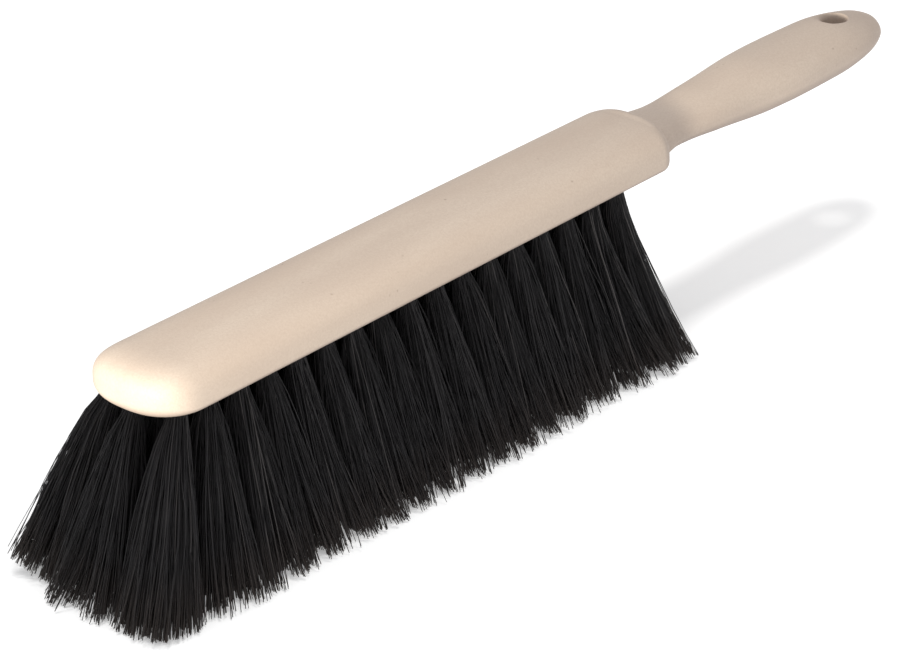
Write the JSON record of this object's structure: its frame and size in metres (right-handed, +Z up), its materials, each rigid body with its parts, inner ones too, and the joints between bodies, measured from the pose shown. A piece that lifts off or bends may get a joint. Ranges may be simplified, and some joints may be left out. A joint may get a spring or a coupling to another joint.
{
  "type": "bench brush",
  "caption": "Long hand brush with a one-piece block and grip and rows of dark splayed bristle tufts, for sweeping bees from combs or dust from a bench.",
  "frame": {"origin": "in the plane of the bristle tips, under the centre of the brush's bounding box", "axes": "+X from the nose of the block to the end of the grip, +Z up from the tips to the block"},
  "size_m": [0.362, 0.0696, 0.0691],
  "materials": {
    "body": "matte",
    "bristle": "satin",
    "staple": "satin"
  },
  "bodies": {
    "root": {"tuft_left_01": "bristle", "tuft_left_02": "bristle", "tuft_left_03": "bristle", "tuft_left_04": "bristle", "tuft_left_05": "bristle", "tuft_left_06": "bristle", "tuft_left_07": "bristle", "tuft_left_08": "bristle", "tuft_left_09": "bristle", "tuft_left_10": "bristle", "tuft_left_11": "bristle", "tuft_left_12": "bristle", "tuft_left_13": "bristle", "tuft_left_14": "bristle", "tuft_left_15": "bristle", "tuft_left_16": "bristle", "tuft_left_17": "bristle", "tuft_centre_01": "bristle", "tuft_centre_02": "bristle", "tuft_centre_03": "bristle", "tuft_centre_04": "bristle", "tuft_centre_05": "bristle", "tuft_centre_06": "bristle", "tuft_centre_07": "bristle", "tuft_centre_08": "bristle", "tuft_centre_09": "bristle", "tuft_centre_10": "bristle", "tuft_centre_11": "bristle", "tuft_centre_12": "bristle", "tuft_centre_13": "bristle", "tuft_centre_14": "bristle", "tuft_centre_15": "bristle", "tuft_centre_16": "bristle", "tuft_centre_17": "bristle", "tuft_centre_18": "bristle", "tuft_right_01": "bristle", "tuft_right_02": "bristle", "tuft_right_03": "bristle", "tuft_right_04": "bristle", "tuft_right_05": "bristle", "tuft_right_06": "bristle", "tuft_right_07": "bristle", "tuft_right_08": "bristle", "tuft_right_09": "bristle", "tuft_right_10": "bristle", "tuft_right_11": "bristle", "tuft_right_12": "bristle", "tuft_right_13": "bristle", "tuft_right_14": "bristle", "tuft_right_15": "bristle", "tuft_right_16": "bristle", "tuft_right_17": "bristle", "handle_block": "body"}
  },
  "joints": []
}
